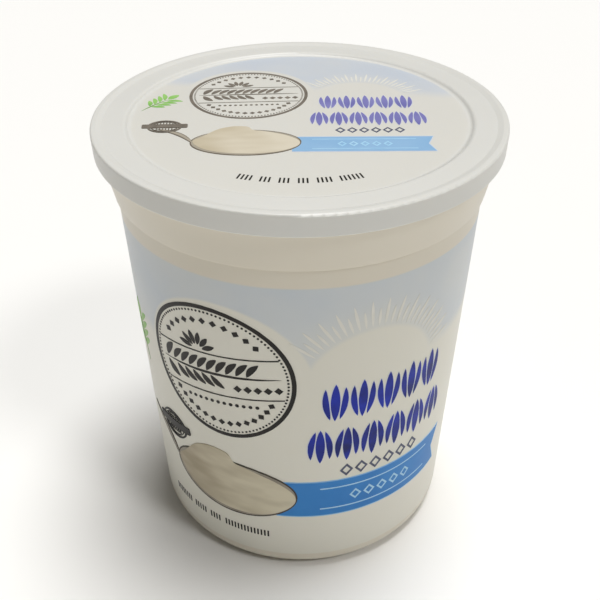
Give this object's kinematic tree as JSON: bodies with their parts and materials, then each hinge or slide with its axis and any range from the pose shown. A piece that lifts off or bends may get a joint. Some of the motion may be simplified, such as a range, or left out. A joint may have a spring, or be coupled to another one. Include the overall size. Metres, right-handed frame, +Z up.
{
  "type": "yogurt pot",
  "caption": "Shut round plastic pot of yogurt: tapered wall, rounded heel, flared collar and a stepped push-on lid with a printed sky, badge and spoon.",
  "frame": {"origin": "centre of the foot ring, on the surface the pot stands on", "axes": "+Z up along the pot's axis; -Y is the printed front"},
  "size_m": [0.1144, 0.1144, 0.1354],
  "materials": {
    "pot_plastic": "warm white injection-moulded polypropylene, satin to soft gloss",
    "lid_plastic": "white injection-moulded lid plastic, soft satin",
    "print_ink": "printed ink and film on the wall and the lid: blues, greens, cream and charcoal"
  },
  "bodies": {
    "root": {"pot": "pot_plastic", "lid": "lid_plastic"}
  },
  "joints": []
}
